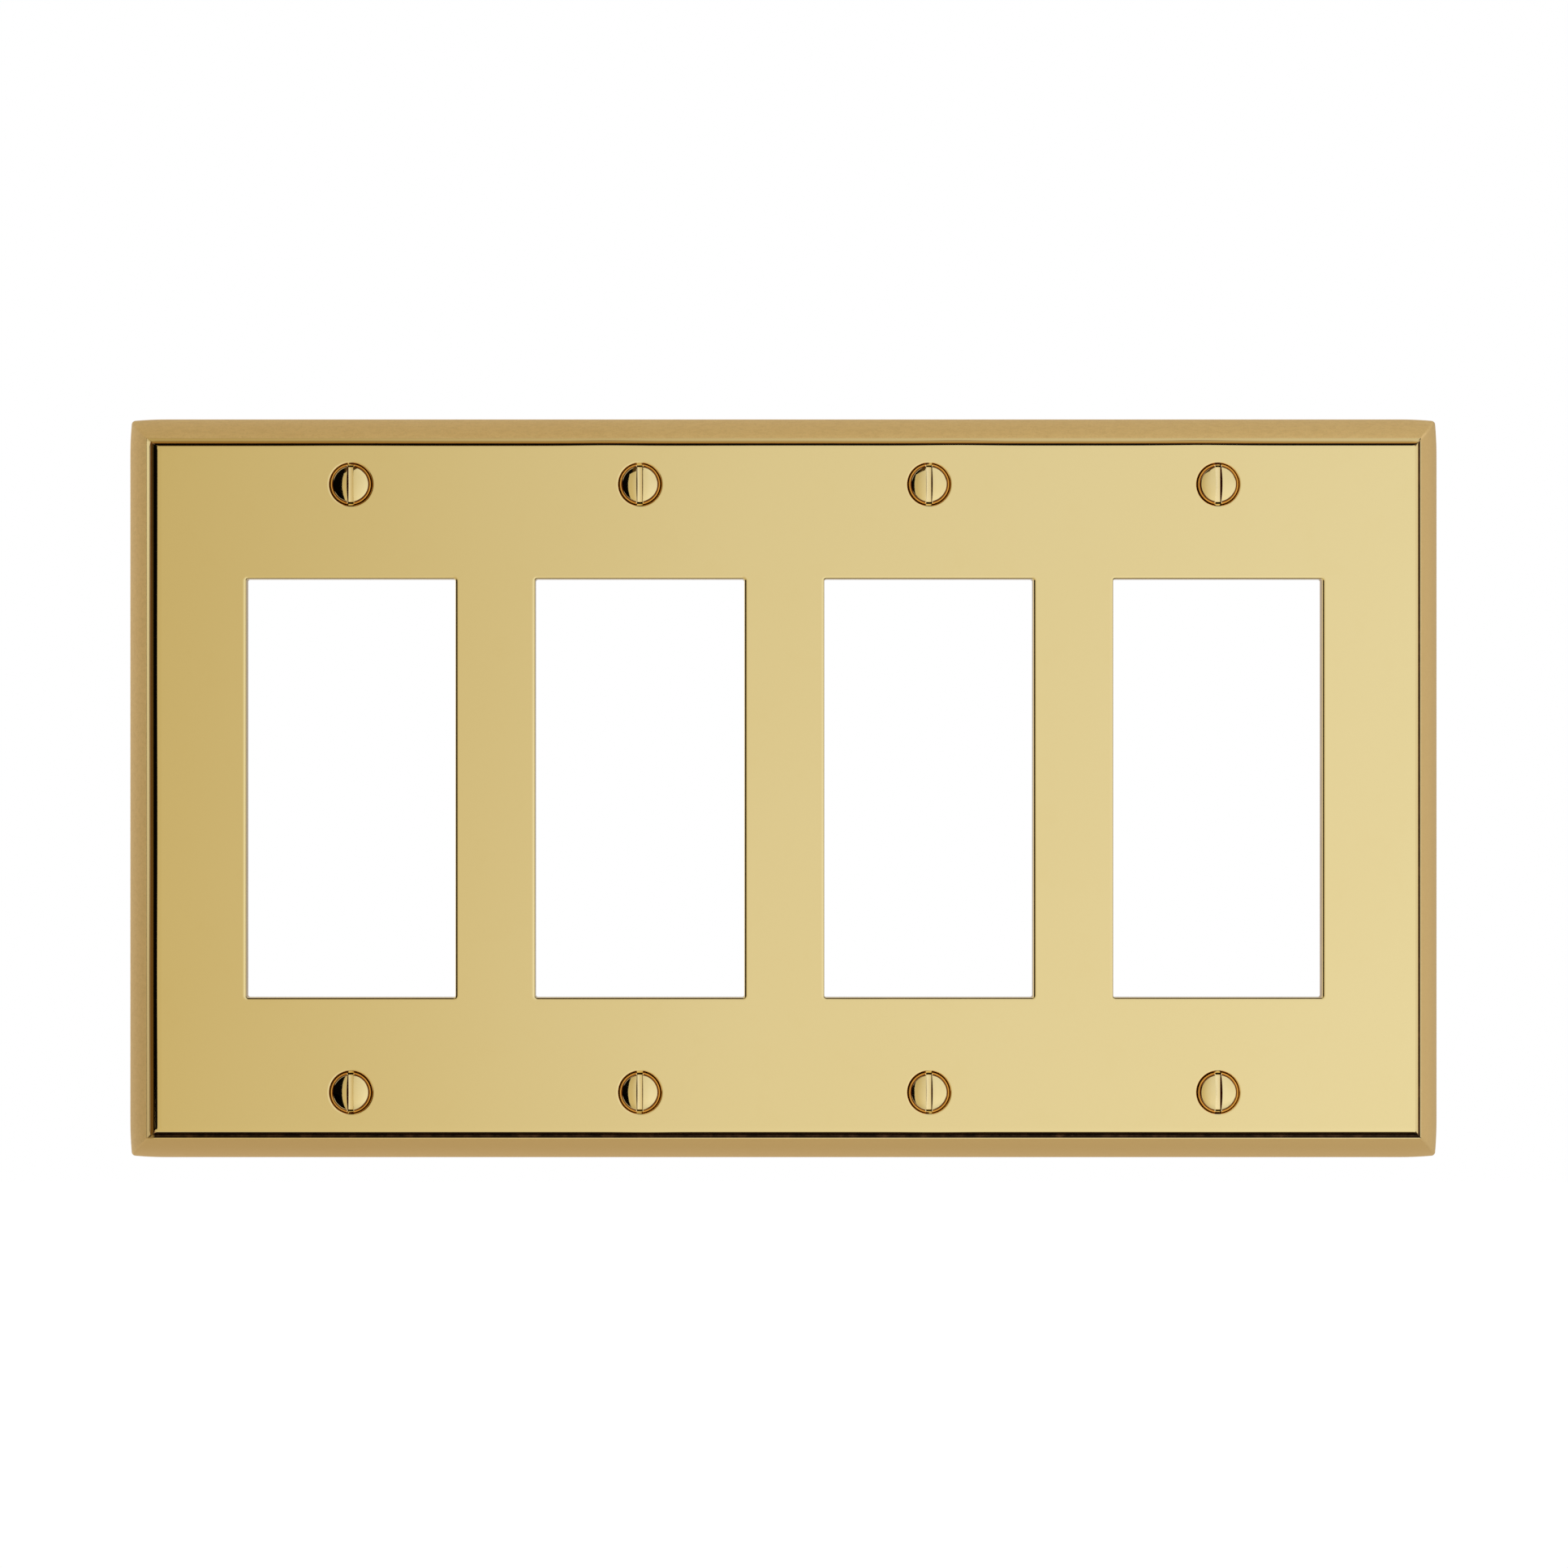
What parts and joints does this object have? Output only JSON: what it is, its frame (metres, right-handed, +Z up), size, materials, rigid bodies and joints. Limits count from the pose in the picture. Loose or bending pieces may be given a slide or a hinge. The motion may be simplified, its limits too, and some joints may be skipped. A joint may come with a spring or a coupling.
{
  "type": "four-gang decorator wall plate",
  "caption": "Hollow-backed brass wall plate with a raised polished panel, satin bevelled border, rectangular device openings and slotted oval-head screws.",
  "frame": {"origin": "centre of the plate on the wall plane, midway between the four gangs and midway between the two rows of screws", "axes": "+X along the plate's length to the right as seen from the room, +Z up, and the polished panel faces -Y, so the wall is the plane y = 0 and the screws run towards +Y"},
  "size_m": [0.2108, 0.0138, 0.119],
  "materials": {
    "polished_brass": "mirror-polished panel with a satin border, clear lacquer",
    "screw_brass": "polished head, machine-cut thread",
    "washer_nylon": "natural moulded nylon"
  },
  "bodies": {
    "plate": {"face_plate": "polished_brass"},
    "washer_top_1": {"retaining_washer_top_1": "washer_nylon"},
    "washer_top_2": {"retaining_washer_top_2": "washer_nylon"},
    "washer_top_3": {"retaining_washer_top_3": "washer_nylon"},
    "washer_top_4": {"retaining_washer_top_4": "washer_nylon"},
    "washer_bottom_1": {"retaining_washer_bottom_1": "washer_nylon"},
    "washer_bottom_2": {"retaining_washer_bottom_2": "washer_nylon"},
    "washer_bottom_3": {"retaining_washer_bottom_3": "washer_nylon"},
    "washer_bottom_4": {"retaining_washer_bottom_4": "washer_nylon"},
    "screw_top_1": {"screw_top_1": "screw_brass"},
    "screw_top_2": {"screw_top_2": "screw_brass"},
    "screw_top_3": {"screw_top_3": "screw_brass"},
    "screw_top_4": {"screw_top_4": "screw_brass"},
    "screw_bottom_1": {"screw_bottom_1": "screw_brass"},
    "screw_bottom_2": {"screw_bottom_2": "screw_brass"},
    "screw_bottom_3": {"screw_bottom_3": "screw_brass"},
    "screw_bottom_4": {"screw_bottom_4": "screw_brass"}
  },
  "joints": [
    {"name": "screw_top_1_back_out", "type": "slide", "parent": "plate", "child": "washer_top_1", "axis": [0, -1, 0], "range_m": [0, 0.00218]},
    {"name": "screw_top_1_turn", "type": "hinge", "parent": "washer_top_1", "child": "screw_top_1", "pos_m": [-0.06906, -0.006, 0.04842], "axis": [0, -1, 0], "range_deg": [0, 990]},
    {"name": "screw_top_2_back_out", "type": "slide", "parent": "plate", "child": "washer_top_2", "axis": [0, -1, 0], "range_m": [0, 0.00218]},
    {"name": "screw_top_2_turn", "type": "hinge", "parent": "washer_top_2", "child": "screw_top_2", "pos_m": [-0.02302, -0.006, 0.04842], "axis": [0, -1, 0], "range_deg": [0, 990]},
    {"name": "screw_top_3_back_out", "type": "slide", "parent": "plate", "child": "washer_top_3", "axis": [0, -1, 0], "range_m": [0, 0.00218]},
    {"name": "screw_top_3_turn", "type": "hinge", "parent": "washer_top_3", "child": "screw_top_3", "pos_m": [0.02302, -0.006, 0.04842], "axis": [0, -1, 0], "range_deg": [0, 990]},
    {"name": "screw_top_4_back_out", "type": "slide", "parent": "plate", "child": "washer_top_4", "axis": [0, -1, 0], "range_m": [0, 0.00218]},
    {"name": "screw_top_4_turn", "type": "hinge", "parent": "washer_top_4", "child": "screw_top_4", "pos_m": [0.06906, -0.006, 0.04842], "axis": [0, -1, 0], "range_deg": [0, 990]},
    {"name": "screw_bottom_1_back_out", "type": "slide", "parent": "plate", "child": "washer_bottom_1", "axis": [0, -1, 0], "range_m": [0, 0.00218]},
    {"name": "screw_bottom_1_turn", "type": "hinge", "parent": "washer_bottom_1", "child": "screw_bottom_1", "pos_m": [-0.06906, -0.006, -0.04842], "axis": [0, -1, 0], "range_deg": [0, 990]},
    {"name": "screw_bottom_2_back_out", "type": "slide", "parent": "plate", "child": "washer_bottom_2", "axis": [0, -1, 0], "range_m": [0, 0.00218]},
    {"name": "screw_bottom_2_turn", "type": "hinge", "parent": "washer_bottom_2", "child": "screw_bottom_2", "pos_m": [-0.02302, -0.006, -0.04842], "axis": [0, -1, 0], "range_deg": [0, 990]},
    {"name": "screw_bottom_3_back_out", "type": "slide", "parent": "plate", "child": "washer_bottom_3", "axis": [0, -1, 0], "range_m": [0, 0.00218]},
    {"name": "screw_bottom_3_turn", "type": "hinge", "parent": "washer_bottom_3", "child": "screw_bottom_3", "pos_m": [0.02302, -0.006, -0.04842], "axis": [0, -1, 0], "range_deg": [0, 990]},
    {"name": "screw_bottom_4_back_out", "type": "slide", "parent": "plate", "child": "washer_bottom_4", "axis": [0, -1, 0], "range_m": [0, 0.00218]},
    {"name": "screw_bottom_4_turn", "type": "hinge", "parent": "washer_bottom_4", "child": "screw_bottom_4", "pos_m": [0.06906, -0.006, -0.04842], "axis": [0, -1, 0], "range_deg": [0, 990]}
  ],
  "couplings": [
    {"joint": "screw_top_1_turn", "follows": "screw_top_1_back_out", "rad_per_m": 7915.8},
    {"joint": "screw_top_2_turn", "follows": "screw_top_2_back_out", "rad_per_m": 7915.8},
    {"joint": "screw_top_3_turn", "follows": "screw_top_3_back_out", "rad_per_m": 7915.8},
    {"joint": "screw_top_4_turn", "follows": "screw_top_4_back_out", "rad_per_m": 7915.8},
    {"joint": "screw_bottom_1_turn", "follows": "screw_bottom_1_back_out", "rad_per_m": 7915.8},
    {"joint": "screw_bottom_2_turn", "follows": "screw_bottom_2_back_out", "rad_per_m": 7915.8},
    {"joint": "screw_bottom_3_turn", "follows": "screw_bottom_3_back_out", "rad_per_m": 7915.8},
    {"joint": "screw_bottom_4_turn", "follows": "screw_bottom_4_back_out", "rad_per_m": 7915.8}
  ]
}
